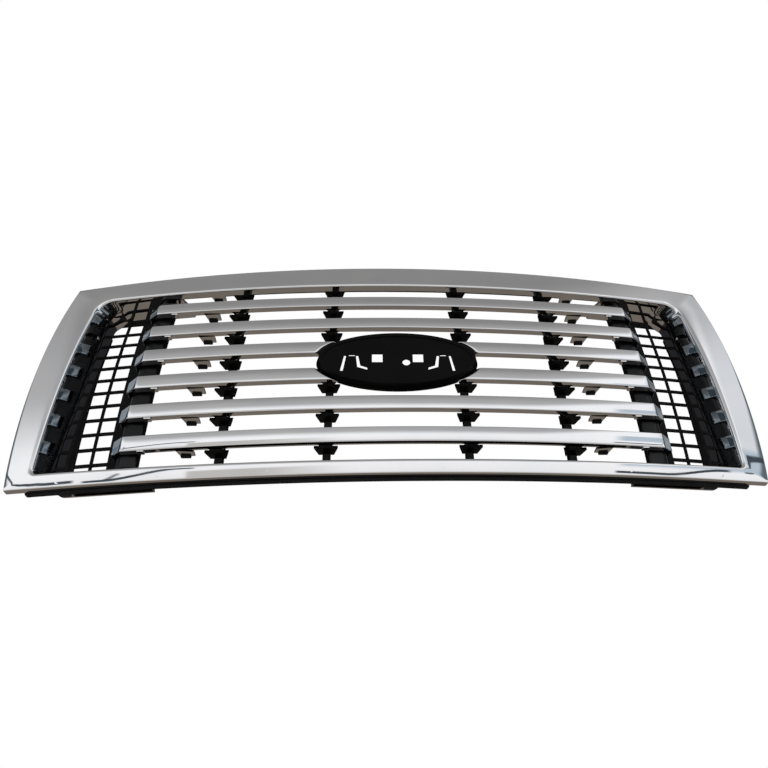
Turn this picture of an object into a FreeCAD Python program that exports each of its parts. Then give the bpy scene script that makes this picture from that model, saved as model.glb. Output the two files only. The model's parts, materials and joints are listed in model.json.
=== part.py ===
import FreeCAD, Part
import math
import os

import Sketcher
from FreeCAD import Placement, Rotation, Vector

# Front grille of a pickup truck: a chrome surround, six chrome bars, black posts, ribs and
# mesh inserts behind them, and the black reinforcements that carry it on the vehicle.
# Frame: X across the vehicle, Y rearwards, Z up. The origin is the middle of the grille's
# face, where the face stands furthest forward.

doc = FreeCAD.newDocument("front_grille")
sheet = doc.addObject("Spreadsheet::Sheet", "Sizes")

# alias, millimetres or degrees, meaning
SIZES = [
    ("plan_radius", 3130, "bulge of the face seen from above"),
    ("side_radius", 1070, "bulge of the face seen from the side"),
    ("top_half", 548, "half width at the top corners"),
    ("middle_half", 556.5, "half width where the sides bulge most"),
    ("low_half", 545, "half width at the bottom corners"),
    ("top_corner", 198, "height of the top corners"),
    ("top_crown", 214.6, "height of the top edge at the middle"),
    ("low_corner", -178.7, "height of the bottom corners"),
    ("low_crown", -181.2, "height of the bottom edge at the middle"),
    ("skin", 3, "wall of the surround"),
    ("rim_depth", 11, "return of the outer edge"),
    ("lip_depth", 14, "return of the window edge between the posts"),
    ("pocket_depth", 60, "depth of the side pockets"),
    ("flange_width", 12, "flange around the back of each pocket"),
    ("window_top", 166.3, "top of the window at the middle"),
    ("window_shoulder", 161.5, "top of the window at its ends"),
    ("window_foot", -159.2, "bottom of the window at its ends"),
    ("pocket_start", 364, "where the pockets begin, from the middle"),
    ("bar_pitch", 50, "spacing of the bars"),
    ("bar_height", 21.4, "height of a bar's face"),
    ("bar_wall", 2.5, "wall of a bar"),
    ("bar_half", 390.6, "half length of a bar's face"),
    ("bar_roof", 15.7, "depth of a bar's upper wall"),
    ("bar_floor", 11, "depth of a bar's lower wall"),
    ("bar_crown", 1.1, "crown of a bar's face"),
    ("facet_reach", 15, "how far a bar's end facet runs outwards"),
    ("return_depth", 42, "rear end of a bar's return along the post"),
    ("tab_station", 302, "outer tabs, from the middle"),
    ("tab_depth", 26, "rear end of an outer tab"),
    ("tab_root", 13, "half width of a tab at its root"),
    ("tab_tip", 8, "half width of a tab at its tip"),
    ("inner_rib", 103.3, "inner ribs, from the middle"),
    ("outer_rib", 256.9, "outer ribs, from the middle"),
    ("rib_width", 11, "width of a rib"),
    ("rib_front", 31, "front of a rib, behind the face"),
    ("rib_back", 45, "back of a rib, behind the face"),
    ("post_inner", 369, "inner side of a post"),
    ("post_outer", 402, "outer side of a post"),
    ("post_front", 16, "front of a post, behind the face"),
    ("post_back", 59.5, "back of a post's outer wall, behind the face"),
    ("post_lip", 12, "depth of a post's inner wall behind its front"),
    ("post_screw", 397, "station of the screws that hold the mesh to a post"),
    ("mesh_front", 60.3, "front of a mesh insert, behind the face"),
    ("mesh_back", 64.3, "back of a mesh insert, behind the face"),
    ("cell_pitch", 25, "pitch of the mesh cells"),
    ("cell_strand", 4, "width of a mesh strand"),
    ("pad_half", 119.5, "half width of the emblem pad"),
    ("pad_rise", 47.5, "half height of the emblem pad"),
    ("pad_front", -4, "front of the emblem pad"),
    ("pad_back", 12, "back of the emblem pad's skirt"),
    ("pad_gap", 5.5, "gap between the pad's face and the bars"),
    ("web_front", 14.5, "front of the reinforcements' webs, behind the face"),
    ("plate", 3, "sheet of the reinforcements and brackets"),
    ("upper_shelf", 196, "underside of the upper reinforcement's shelf"),
    ("upper_half", 420, "half length of the upper reinforcement"),
    ("lower_shelf", -166, "underside of the lower reinforcement's shelf"),
    ("lower_half", 520, "half length of the lower reinforcement"),
    ("shelf_back", 44, "rear edge of both shelves, behind the face"),
    ("screw_shank", 4, "diameter of a screw's shank"),
    ("screw_head", 9, "diameter of a screw's head"),
    ("head_height", 2.6, "height of a screw's head"),
    ("screw_length", 12, "length of a screw's shank"),
    ("pad_screw_length", 24, "length of a pad screw's shank"),
    ("upper_hole", 9, "holes of the upper mounting shelf"),
    ("lower_hole", 8, "holes of the lower mounting shelf"),
    ("side_hole", 7, "holes of the side brackets"),
]
for row, (alias, value, meaning) in enumerate(SIZES, start=1):
    sheet.set(f"A{row}", meaning)
    sheet.set(f"B{row}", str(value))
    sheet.setAlias(f"B{row}", alias)
doc.recompute()


def size(alias):
    return float(getattr(sheet, alias))


def bind(obj, **formulas):
    """Tie an object's properties to formulas over the sheet's aliases."""
    for name, formula in formulas.items():
        for alias, _, _ in SIZES:
            formula = formula.replace(f"<{alias}>", f"{sheet.Name}.{alias}")
        obj.setExpression(name.replace("__", "."), formula)


def face_y(x, z, depth=0.0):
    """Y of the surface that lies depth behind the face, above the point x, z."""
    ring = size("plan_radius") - size("side_radius")
    swing = ring + math.sqrt((size("side_radius") - depth) ** 2 - z * z)
    return size("plan_radius") - math.sqrt(swing * swing - x * x)


# ---------------------------------------------------------------- sketches and tools


def draw(sketch, start, *steps):
    """Close an outline: each step is a point to run to, or a mid point and an end point."""
    here = Vector(*start, 0)
    for step in steps:
        if isinstance(step[0], tuple):
            via = Vector(*step[0], 0)
            there = Vector(*step[1], 0)
            sketch.addGeometry(Part.Arc(here, via, there), False)
        else:
            there = Vector(*step, 0)
            sketch.addGeometry(Part.LineSegment(here, there), False)
        here = there


def rectangle(sketch, left, low, right, high):
    draw(sketch, (left, low), (right, low), (right, high), (left, high), (left, low))


def ellipse(sketch, half, rise):
    curve = Part.Ellipse(Vector(half, 0, 0), Vector(0, rise, 0), Vector(0, 0, 0))
    sketch.addGeometry(curve, False)


def front_sketch(name, y=0.0):
    """A sketch across the vehicle: its x is X and its y is Z."""
    sketch = doc.addObject("Sketcher::SketchObject", name)
    sketch.Placement = Placement(Vector(0, y, 0), Rotation(Vector(1, 0, 0), 90))
    return sketch


def body_sketch(body, plane, name, offset=0.0):
    """A sketch on one of the body's own planes, moved along that plane's normal."""
    origin = next(f for f in body.Origin.OriginFeatures if f.Role == plane)
    sketch = body.newObject("Sketcher::SketchObject", name)
    sketch.AttachmentSupport = [(origin, "")]
    sketch.MapMode = "FlatFace"
    sketch.AttachmentOffset = Placement(Vector(0, 0, offset), Rotation())
    return sketch


def new_body(label):
    body = doc.addObject("PartDesign::Body", label)
    body.Label = label
    return body


def pad(body, sketch, length, backwards=False):
    feature = body.newObject("PartDesign::Pad", f"{sketch.Name}_pad")
    feature.Profile = sketch
    bind(feature, Length=length)
    feature.Reversed = backwards
    return feature


def pocket(body, sketch, length, forwards=False):
    feature = body.newObject("PartDesign::Pocket", f"{sketch.Name}_cut")
    feature.Profile = sketch
    bind(feature, Length=length)
    feature.Reversed = forwards
    return feature


def revolve(body, sketch, axis_start, axis_end, angle, both=False, backwards=False):
    """Turn a sketch about a construction line that is added to it."""
    line = Part.LineSegment(Vector(*axis_start, 0), Vector(*axis_end, 0))
    sketch.addGeometry(line, True)
    feature = body.newObject("PartDesign::Revolution", f"{sketch.Name}_turn")
    feature.Profile = sketch
    feature.ReferenceAxis = (sketch, ["Axis0"])
    bind(feature, Angle=angle)
    feature.Midplane = both
    feature.Reversed = backwards
    return feature


def prism(name, sketch, length="200"):
    """A solid run rearwards from a front sketch."""
    solid = doc.addObject("Part::Extrusion", name)
    solid.Base = sketch
    solid.DirMode = "Custom"
    solid.Dir = Vector(0, 1, 0)
    solid.Solid = True
    bind(solid, LengthFwd=length)
    return solid


def combine(kind, name, *parts):
    """Part::Cut of two solids, or Part::MultiFuse or Part::MultiCommon of several."""
    result = doc.addObject(kind, name)
    if kind == "Part::Cut":
        result.Base, result.Tool = parts
    else:
        result.Shapes = list(parts)
    return result


def layer(name, front, back):
    """The skin between two depths behind the face, as a cut of two tori."""
    tori = []
    for end, depth in (("outer", front), ("inner", back)):
        torus = doc.addObject("Part::Torus", f"{name}_{end}")
        bind(torus, Radius1="<plan_radius> - <side_radius>", Radius2=f"<side_radius> - ({depth})",
             Placement__Base__y="<plan_radius>")
        tori.append(torus)
    return combine("Part::Cut", name, *tori)


def block(name, low, high):
    """A box between two corners."""
    box = doc.addObject("Part::Box", name)
    box.Placement.Base = Vector(*low)
    box.Length, box.Width, box.Height = [b - a for a, b in zip(low, high)]
    return box


SIDES = (("left", -1), ("right", 1))
FRONT_PLANE = -10.0
REAR_PLANE = 140.0
BAR_MIDS = [size("bar_pitch") * (2.5 - i) for i in range(6)]
BAR_LOWS = [mid - size("bar_height") / 2 for mid in BAR_MIDS]

# ---------------------------------------------------------------- surround


def outer_outline(sketch, inset):
    top = size("top_half") - inset
    middle = size("middle_half") - inset
    low = size("low_half") - inset
    high_z = size("top_corner") - inset
    low_z = size("low_corner") + inset
    mid_z = (high_z + low_z) / 2
    draw(sketch, (-top, high_z), ((0, size("top_crown") - inset), (top, high_z)),
         ((middle, mid_z), (low, low_z)), ((0, size("low_crown") + inset), (-low, low_z)),
         ((-middle, mid_z), (-top, high_z)))


# plane y, and the window's half width there below the shoulder, at the middle and above the foot
WINDOW_PLANES = ((45, (507, 509, 517)), (77, (488.5, 490, 498)), (108, (485, 486, 488)))
CREASE_PLANE = WINDOW_PLANES[1][0]
SHOULDER_RADIUS = 28
FOOT_RADIUS = 8
WIDEST_HEIGHT = 5
LID_ANGLE = 3
LID_RISE = 3.1
SILL_DROP = 0.8
ARC_BEND = 1 - math.sqrt(0.5)


def window_halves(y):
    """Half widths of the window in the plane y: its sides slope in, less so behind the crease."""
    front, crease, rear = WINDOW_PLANES
    (near, at_near), (far, at_far) = (front, crease) if y <= CREASE_PLANE else (crease, rear)
    share = (y - near) / (far - near)
    return [a + (b - a) * share for a, b in zip(at_near, at_far)]


def window_outline(sketch, y, grow=0.0):
    """The window where it crosses the plane y, pushed outwards by grow."""
    lid_lean = (y - WINDOW_PLANES[0][0]) * math.tan(math.radians(LID_ANGLE)) - grow
    top_end = size("window_shoulder") - lid_lean
    low_end = size("window_foot") + lid_lean
    shoulder = SHOULDER_RADIUS + grow
    foot = FOOT_RADIUS + grow
    high, wide, base = [half + grow for half in window_halves(y)]
    high_bend = shoulder * ARC_BEND
    low_bend = foot * ARC_BEND
    outline = [((0, top_end + LID_RISE), (high - shoulder, top_end)),
               ((high - high_bend, top_end - high_bend), (high, top_end - shoulder)),
               ((wide, WIDEST_HEIGHT), (base, low_end + foot)),
               ((base - low_bend, low_end + low_bend), (base - foot, low_end)),
               ((0, low_end - SILL_DROP), (foot - base, low_end)),
               ((low_bend - base, low_end + low_bend), (-base, low_end + foot)),
               ((-wide, WIDEST_HEIGHT), (-high, top_end - shoulder)),
               ((high_bend - high, top_end - high_bend), (shoulder - high, top_end))]
    draw(sketch, (shoulder - high, top_end), *outline)


def window_tool(name, grow=0.0):
    ends = []
    for end, y in (("front", FRONT_PLANE), ("crease", CREASE_PLANE), ("rear", REAR_PLANE)):
        sketch = front_sketch(f"{name}_{end}", y)
        window_outline(sketch, y, grow)
        ends.append(sketch)
    loft = doc.addObject("Part::Loft", name)
    loft.Sections = ends
    loft.Solid = True
    loft.Ruled = True
    return loft


def tab_outline(sketch, centre, root_y, tip_y, root, tip, sign=0):
    """A tongue seen from above, tapered on both sides, or only on the side that sign gives."""
    left = root if sign > 0 else tip
    right = root if sign < 0 else tip
    draw(sketch, (centre - root, root_y), (centre + root, root_y), (centre + right, tip_y),
         (centre - left, tip_y), (centre - root, root_y))


SHELF_ROOT = 17
SHELF_TIP = 11


def shelf_front(x, z):
    """Y where a rib's shelf starts, clear of the curved lip on its outboard side."""
    return face_y(abs(x) + SHELF_ROOT, z, size("lip_depth") + 0.4)


def rail_lip(x):
    """Height of the underside of the top rail."""
    return size("window_top") - (size("window_top") - size("window_shoulder")) * (x / 450) ** 2


def make_surround():
    outline = front_sketch("outline", FRONT_PLANE)
    outer_outline(outline, 0)
    inset = front_sketch("outline_inset", FRONT_PLANE)
    outer_outline(inset, size("skin"))
    full = prism("outline_prism", outline)
    hollow = prism("inset_prism", inset)
    window = window_tool("window")
    wall = window_tool("window_wall", size("skin"))
    flange = window_tool("window_flange", size("flange_width"))
    face = combine("Part::MultiCommon", "face", full, layer("face_layer", "0", "<skin>"))
    rim_ring = combine("Part::Cut", "rim_ring", full, hollow)
    rim = combine("Part::MultiCommon", "rim", rim_ring, layer("rim_layer", "0", "<rim_depth>"))
    walls = combine("Part::MultiCommon", "walls", wall, layer("lip_layer", "0", "<lip_depth>"))
    pieces = [face, rim, walls]
    start = size("pocket_start")
    deep = combine("Part::MultiCommon", "deep_walls", wall,
                   layer("deep_layer", "0", "<pocket_depth>"))
    back = combine("Part::MultiCommon", "flange_ring", flange,
                   layer("flange_layer", "<pocket_depth> - <skin>", "<pocket_depth>"))
    for side, sign in SIDES:
        ends = sorted((sign * start, sign * 600))
        for part, source in (("pocket", deep), ("flange", back)):
            room = block(f"{part}_room_{side}", (ends[0], -20, -220), (ends[1], 160, 220))
            pieces.append(combine("Part::MultiCommon", f"{part}_{side}", source, room))
    for kind, height, places in WEB_SCREWS:
        for number, x in enumerate(places):
            boss = doc.addObject("Part::Cylinder", f"{kind}_boss_{number}")
            front = face_y(x, height, 1.5)
            boss.Radius = BOSS_RADIUS
            boss.Height = face_y(x, height, size("web_front") - 1) - front
            boss.Placement = Placement(Vector(x, front, height), Rotation(Vector(1, 0, 0), -90))
            pieces.append(boss)
    solid = combine("Part::MultiFuse", "surround_solid", *pieces)
    open_solid = combine("Part::Cut", "surround_open", solid, window)
    tabs = [open_solid]
    stations = [(s * size(name), 0) for name in ("inner_rib", "outer_rib") for _, s in SIDES]
    stations += [(s * size("tab_station"), s) for _, s in SIDES]
    for number, (x, sign) in enumerate(stations):
        sketch = doc.addObject("Sketcher::SketchObject", f"rail_tab_{number}")
        height = rail_lip(x)
        sketch.Placement.Base = Vector(0, 0, height)
        tip = face_y(x, height, size("tab_depth")) if sign else shelf_front(x, height) - 0.2
        tab_outline(sketch, x, face_y(x, height, 8), tip, size("tab_root"), size("tab_tip"), sign)
        tab = doc.addObject("Part::Extrusion", f"rail_tab_solid_{number}")
        tab.Base = sketch
        tab.Dir = Vector(0, 0, 1)
        tab.Solid = True
        bind(tab, LengthFwd="<bar_wall>")
        tabs.append(tab)
    surround = combine("Part::MultiFuse", "surround_with_tabs", *tabs)
    holes = doc.addObject("Part::Cut", "chrome_surround")
    holes.Base = surround
    holes.Tool = combine("Part::MultiFuse", "surround_holes", *surround_screw_holes())
    return holes


def hole_tool(name, centre, axis, diameter, length):
    """A cylinder of the given length centred on a point."""
    turn = Rotation(Vector(0, 0, 1), Vector(*axis))
    tool = doc.addObject("Part::Cylinder", name)
    bind(tool, Radius=f"{diameter} / 2")
    tool.Height = length
    start = Vector(*centre) - Vector(*axis) * (length / 2)
    tool.Placement = Placement(start, turn)
    return tool


UPPER_SCREWS = (-390, -180, -60, 60, 180, 390)
LOWER_SCREWS = (-470, -330, -180, -60, 60, 180, 330, 470)
UPPER_SCREW_HEIGHT = 186
LOWER_SCREW_HEIGHT = -171.5
WEB_SCREWS = (("upper", UPPER_SCREW_HEIGHT, UPPER_SCREWS), ("lower", LOWER_SCREW_HEIGHT, LOWER_SCREWS))
BOSS_RADIUS = 4.2
MESH_SCREW_OFFSET = 7.2
MESH_SCREW_HEIGHTS = (-105, 0, 105)
POST_SCREW_HEIGHTS = (-110, 0, 110)
PAD_SCREW_HEIGHTS = (-9, 9)


def mesh_screw_x(z):
    """Middle of the pocket's outer flange: the window's side there is a flat parabola."""
    high, wide, base = window_halves(face_y(490, z, size("pocket_depth")))
    up = size("window_shoulder") - SHOULDER_RADIUS - WIDEST_HEIGHT
    down = size("window_foot") + FOOT_RADIUS - WIDEST_HEIGHT
    bow = ((high - wide) / up - (base - wide) / down) / (up - down)
    slope = (high - wide) / up - bow * up
    rise = z - WIDEST_HEIGHT
    return wide + slope * rise + bow * rise ** 2 + MESH_SCREW_OFFSET


def surround_screw_holes():
    tools = []
    for kind, height, places in WEB_SCREWS:
        for number, x in enumerate(places):
            centre = (x, face_y(x, height, size("web_front")), height)
            tools.append(hole_tool(f"{kind}_pilot_{number}", centre, (0, 1, 0),
                                   "<screw_shank>", 2 * (size("screw_length") - 3)))
    for side, sign in SIDES:
        for number, z in enumerate(MESH_SCREW_HEIGHTS):
            x = sign * mesh_screw_x(z)
            centre = (x, face_y(x, z, size("pocket_depth")), z)
            tools.append(hole_tool(f"flange_pilot_{side}_{number}", centre, (0, 1, 0),
                                   "<screw_shank>", 14))
    return tools


# ---------------------------------------------------------------- bars


def bar_section(sketch, low):
    """A channel open to the rear, seen from the side: its x is Y and its y is Z."""
    high = low + size("bar_height")
    wall = size("bar_wall")
    crown = size("bar_crown")
    mid = (low + high) / 2
    front_low = face_y(0, low)
    front_high = face_y(0, high)
    front_mid = face_y(0, mid) - crown
    roof = front_high + size("bar_roof")
    floor = front_low + size("bar_floor")
    draw(sketch, (front_low, low), (floor, low), (floor, low + wall),
         (front_low + wall, low + wall), ((front_mid + wall, mid), (front_high + wall, high - wall)),
         (roof, high - wall), (roof, high), (front_high, high), ((front_mid, mid), (front_low, low)))


def add_bar_end(body, name, low, sign):
    """The end facet that bends back, with its floor and roof, and the return along the post."""
    wall = size("bar_wall")
    edge = size("bar_half")
    front = face_y(edge, low + size("bar_height") / 2)
    back = front + size("bar_roof") - 2.2
    reach = size("facet_reach")
    facet = body_sketch(body, "XY_Plane", f"{name}_facet", low)
    draw(facet, (sign * (edge - 4), front - 0.5), (sign * edge, front), (sign * (edge + reach), back),
         (sign * (edge + reach - 3), back), (sign * (edge - 1.5), front + wall),
         (sign * (edge - 4), front + wall), (sign * (edge - 4), front - 0.5))
    pad(body, facet, "<bar_height>")
    for part, height in (("floor", low), ("roof", low + size("bar_height") - wall)):
        sketch = body_sketch(body, "XY_Plane", f"{name}_{part}", height)
        draw(sketch, (sign * (edge - 6), front + 0.5), (sign * edge, front + 0.5),
             (sign * (edge + reach - 1), back), (sign * (edge - 6), back),
             (sign * (edge - 6), front + 0.5))
        pad(body, sketch, "<bar_wall>")
    wrap = body_sketch(body, "XY_Plane", f"{name}_return", low)
    left, right = sorted((sign * (size("post_outer") + 0.4), sign * (edge + reach)))
    rectangle(wrap, left, back - 1, right, front + size("return_depth"))
    pad(body, wrap, "<bar_height>")


def add_tab(body, name, x, low, sign=0):
    """A tongue behind the bar's lower wall: long at the outer stations, short at a rib."""
    tip = face_y(x, low, size("tab_depth")) if sign else shelf_front(x, low) - 0.2
    sketch = body_sketch(body, "XY_Plane", name, low)
    root_y = face_y(x, low, size("bar_floor") - 4)
    tab_outline(sketch, x, root_y, tip, size("tab_root"), size("tab_tip"), sign)
    pad(body, sketch, "<bar_wall>")


def make_bar(label, low, signs, cut_oval):
    body = new_body(label)
    section = body_sketch(body, "YZ_Plane", f"{label}_section")
    bar_section(section, low)
    axis = size("plan_radius")
    angle = math.degrees(math.asin(size("bar_half") / axis))
    both = len(signs) == 2
    angle_text = "asin(<bar_half> / <plan_radius>)"
    revolve(body, section, (axis, -50), (axis, 50), f"{2 if both else 1} * {angle_text}",
            both, backwards=signs == (-1,))
    for sign in signs:
        side = "left" if sign < 0 else "right"
        add_bar_end(body, f"{label}_{side}", low, sign)
        stations = [("outer_rib", 0), ("tab_station", sign)]
        if not cut_oval or low < 0:
            stations.append(("inner_rib", 0))
        for station, lean in stations:
            add_tab(body, f"{label}_{side}_{station}", sign * size(station), low, lean)
        nub = body_sketch(body, "XY_Plane", f"{label}_{side}_nub", low - 2)
        near = face_y(362, low, 2)
        rectangle(nub, sign * 362 - 5, near, sign * 362 + 5, near + 10)
        pad(body, nub, "<bar_wall>")
    if cut_oval:
        oval = body_sketch(body, "XZ_Plane", f"{label}_oval", 30)
        ellipse(oval, size("pad_half") + size("pad_gap"), size("pad_rise") + size("pad_gap"))
        pocket(body, oval, "100")
    return body


def make_bars():
    bars = []
    for number, low in enumerate(BAR_LOWS, start=1):
        if number in (3, 4):
            for side, sign in SIDES:
                bars.append(make_bar(f"bar_{number}_{side}", low, (sign,), True))
        else:
            bars.append(make_bar(f"bar_{number}", low, (-1, 1), False))
    return bars


# ---------------------------------------------------------------- posts, ribs and mesh


def trim(body, name, low, high, x):
    """Cut a column square above high and below low; x is just outside its right side."""
    sketch = body_sketch(body, "YZ_Plane", name, x)
    rectangle(sketch, -20, high, 200, high + 120)
    rectangle(sketch, -20, low - 120, 200, low)
    pocket(body, sketch, "80")


def make_post(side, sign):
    body = new_body(f"end_post_{side}")
    inner = sign * size("post_inner")
    outer = sign * size("post_outer")
    wall = sign * size("plate")
    middle = (inner + outer) / 2
    front = face_y(middle, 0, size("post_front"))
    lip = front + size("post_lip")
    back = face_y(outer, 0, size("post_back") - 0.3)
    axis = face_y(middle, 0) + size("side_radius")
    round_in = 4
    round_out = 13
    inside = 10
    section = body_sketch(body, "XY_Plane", f"post_{side}_section")
    near = front + size("plate")
    side_in = outer - wall
    draw(section, (inner, lip), (inner, front + round_in),
         ((inner + sign * round_in * ARC_BEND, front + round_in * ARC_BEND),
          (inner + sign * round_in, front)),
         (outer - sign * round_out, front),
         ((outer - sign * round_out * ARC_BEND, front + round_out * ARC_BEND),
          (outer, front + round_out)),
         (outer, back), (side_in, back), (side_in, near + inside),
         ((side_in - sign * inside * ARC_BEND, near + inside * ARC_BEND),
          (side_in - sign * inside, near)),
         (inner + wall, near), (inner + wall, lip), (inner, lip))
    revolve(body, section, (0, axis), (10, axis), "20", True)
    trim(body, f"post_{side}_ends", -152, 157, max(inner, outer) + 15)
    screw = sign * size("post_screw")
    for number, z in enumerate(POST_SCREW_HEIGHTS):
        web = body_sketch(body, "XY_Plane", f"post_{side}_web_{number}", z - 5)
        far = face_y(screw, z, size("post_back") - 3)
        left, right = sorted((screw - sign * 6, outer - wall / 2))
        rectangle(web, left, face_y(screw, z, size("post_front") + 21), right, far)
        pad(body, web, "10")
        hole = body_sketch(body, "XZ_Plane", f"post_{side}_pilot_{number}", -(far + 10))
        circle = Part.Circle(Vector(screw, z, 0), Vector(0, 0, 1), size("screw_shank") / 2)
        hole.addGeometry(circle, False)
        pocket(body, hole, "10 + <screw_length> - 2", forwards=True)
    return body


def make_rib(side, sign, station, stations):
    body = new_body(f"rib_{side}_{station.split('_')[0]}")
    x = sign * size(station)
    near, far = face_y(x, 0, size("rib_front")), face_y(x, 0, size("rib_back"))
    axis = face_y(x, 0) + size("side_radius")
    half = size("rib_width") / 2
    section = body_sketch(body, "XY_Plane", f"{body.Name}_section")
    rectangle(section, x - half, near, x + half, far)
    revolve(body, section, (0, axis), (10, axis), "26", True)
    trim(body, f"{body.Name}_ends", size("lower_shelf") + size("plate") + 0.1,
         size("upper_shelf") - 0.1, x + 20)
    for number, low in enumerate(stations):
        shelf = body_sketch(body, "XY_Plane", f"{body.Name}_shelf_{number}", low - 2.5)
        tab_outline(shelf, x, shelf_front(x, low), face_y(x, low, 34), SHELF_ROOT, SHELF_TIP)
        pad(body, shelf, "4")
    if station == "inner_rib":
        passage = body_sketch(body, "XZ_Plane", f"{body.Name}_passage", 20)
        for z in PAD_SCREW_HEIGHTS:
            circle = Part.Circle(Vector(x, z, 0), Vector(0, 0, 1), size("screw_shank") / 2)
            passage.addGeometry(circle, False)
        pocket(body, passage, "120")
    for end, z, reach in (("top", size("upper_shelf"), -14), ("low", size("lower_shelf"), 14)):
        pilot = body_sketch(body, "XY_Plane", f"{body.Name}_{end}_pilot", z + reach)
        centre = Vector(x, rib_screw_y(x, z), 0)
        pilot.addGeometry(Part.Circle(centre, Vector(0, 0, 1), size("screw_shank") / 2), False)
        pocket(body, pilot, "20", forwards=reach < 0)
    return body


def rib_screw_y(x, z):
    return face_y(x, z, 37.5)


MESH_INNER = 390
MESH_TOP = 160.5
MESH_LOW = -158
MESH_CORNER = 14
CELL_ROW = 116.8
CELL_COLUMN = 485.6
CELL_WIDTH = 27
CELL_CHAMFER = 9
CELL_LEAN = 0.0295


def make_mesh(side, sign):
    strand = size("cell_strand") / 2
    pitch = size("cell_pitch")
    sketch = front_sketch(f"mesh_{side}_sketch", 30)
    overlap = size("flange_width") - 0.5
    high, wide, base = [half + overlap for half in window_halves(face_y(490, 0, size("mesh_front")))]
    draw(sketch, (sign * MESH_INNER, MESH_TOP), (sign * (high - MESH_CORNER), MESH_TOP),
         (sign * high, MESH_TOP - MESH_CORNER), ((sign * wide, WIDEST_HEIGHT), (sign * base, MESH_LOW + 8)),
         (sign * (base - 8), MESH_LOW), (sign * MESH_INNER, MESH_LOW), (sign * MESH_INNER, MESH_TOP))
    for row in range(-1, 11):
        centre = CELL_ROW - pitch * row
        for column in range(2):
            right = CELL_COLUMN - column * CELL_WIDTH
            left = right - CELL_WIDTH
            corners = [(right - strand, centre - pitch / 2 + strand),
                       (left + strand, centre - pitch / 2 + strand),
                       (left + strand, centre + pitch / 2 - strand),
                       (right - strand, centre + pitch / 2 - strand)]
            if row == -1 and column == 0:
                corners[3:] = [(right - strand - CELL_CHAMFER, centre + pitch / 2 - strand),
                               (right - strand, centre + pitch / 2 - strand - CELL_CHAMFER)]
            leaned = [(sign * (px + CELL_LEAN * pz), pz) for px, pz in corners]
            draw(sketch, leaned[-1], *leaned)
    plate = prism(f"mesh_{side}_prism", sketch)
    skin = layer(f"mesh_{side}_layer", "<mesh_front>", "<mesh_back>")
    grid = combine("Part::MultiCommon", f"mesh_{side}_grid", plate, skin)
    tools = []
    for number, z in enumerate(MESH_SCREW_HEIGHTS):
        x = sign * mesh_screw_x(z)
        tools.append(hole_tool(f"mesh_{side}_edge_hole_{number}",
                               (x, face_y(x, z, 62), z), (0, 1, 0), "<screw_shank>", 20))
    screw = sign * size("post_screw")
    for number, z in enumerate(POST_SCREW_HEIGHTS):
        tools.append(hole_tool(f"mesh_{side}_post_hole_{number}",
                               (screw, face_y(screw, z, 62), z), (0, 1, 0), "<screw_shank>", 20))
    drills = combine("Part::MultiFuse", f"mesh_{side}_holes", *tools)
    mesh = combine("Part::Cut", f"mesh_insert_{side}", grid, drills)
    return mesh


# ---------------------------------------------------------------- emblem pad


def oval_loft(body, kind, name, front, back, wall):
    """A loft between two ellipses; the pad flares towards its back."""
    sketches = []
    for end, y, flare in (("front", front, 0.0), ("back", back, 4.5)):
        sketch = body_sketch(body, "XZ_Plane", f"{name}_{end}", -y)
        ellipse(sketch, size("pad_half") + flare - wall, size("pad_rise") + flare - wall)
        sketches.append(sketch)
    feature = body.newObject(kind, name)
    feature.Profile = sketches[0]
    feature.Sections = [sketches[1]]
    return feature


# outlines of the slots around the right snap tongue of the emblem pad, as (x, z)
TONGUE_SLOTS = (((78, 5), (81.5, 5), (87, -24), (82.5, -24)),
                ((65, 3.5), (74, 3.5), (74, 6.5), (65, 6.5)),
                ((60, 5), (63.5, 5), (61, -17), (46, -22), (46, -17), (56.5, -13)))


def make_pad():
    body = new_body("emblem_pad")
    front, back = size("pad_front"), size("pad_back")
    oval_loft(body, "PartDesign::AdditiveLoft", "pad_solid", front, back, 0)
    dish = body_sketch(body, "XZ_Plane", "pad_dish", -(front - 1))
    ellipse(dish, size("pad_half") - 6, size("pad_rise") - 6)
    pocket(body, dish, "2.2")
    oval_loft(body, "PartDesign::SubtractiveLoft", "pad_hollow", front + 3.6, back + 1, 2.4)
    openings = body_sketch(body, "XZ_Plane", "pad_openings", -(front - 1))
    for x in (-31, 31):
        rectangle(openings, x - 8, -8, x + 8, 8)
    openings.addGeometry(Part.Circle(Vector(13, -8, 0), Vector(0, 0, 1), 6), False)
    for sign in (-1, 1):
        # snap tongue: slots above it and on both sides, the inner one turning towards the middle
        for slot in TONGUE_SLOTS:
            draw(openings, *((sign * x, z) for x, z in slot + slot[:1]))
    pocket(body, openings, "8")
    rib_x = size("inner_rib")
    bosses = body_sketch(body, "XZ_Plane", "pad_bosses", -(front + 2.4))
    for x in (-rib_x, rib_x):
        for z in PAD_SCREW_HEIGHTS:
            bosses.addGeometry(Part.Circle(Vector(x, z, 0), Vector(0, 0, 1), 4.5), False)
    reach = face_y(rib_x, 0, size("rib_front") - 0.3) - front - 2.4
    pad(body, bosses, f"{reach}", backwards=True)
    pilots = body_sketch(body, "XZ_Plane", "pad_pilots", -(front + 2.4 + reach + 2))
    for x in (-rib_x, rib_x):
        for z in PAD_SCREW_HEIGHTS:
            circle = Part.Circle(Vector(x, z, 0), Vector(0, 0, 1), size("screw_shank") / 2)
            pilots.addGeometry(circle, False)
    pocket(body, pilots, "2 + <screw_length> + 2", forwards=True)
    return body


# ---------------------------------------------------------------- reinforcements and brackets


def curved_plate(name, outline, front, back, holes):
    """A plate that follows the face, with an outline seen from the front and drilled holes."""
    sketch = front_sketch(f"{name}_sketch", FRONT_PLANE)
    draw(sketch, *outline)
    solid = combine("Part::MultiCommon", f"{name}_plate", prism(f"{name}_prism", sketch),
                    layer(f"{name}_layer", front, back))
    return drill(f"{name}_drilled", solid, holes) if holes else solid


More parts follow.
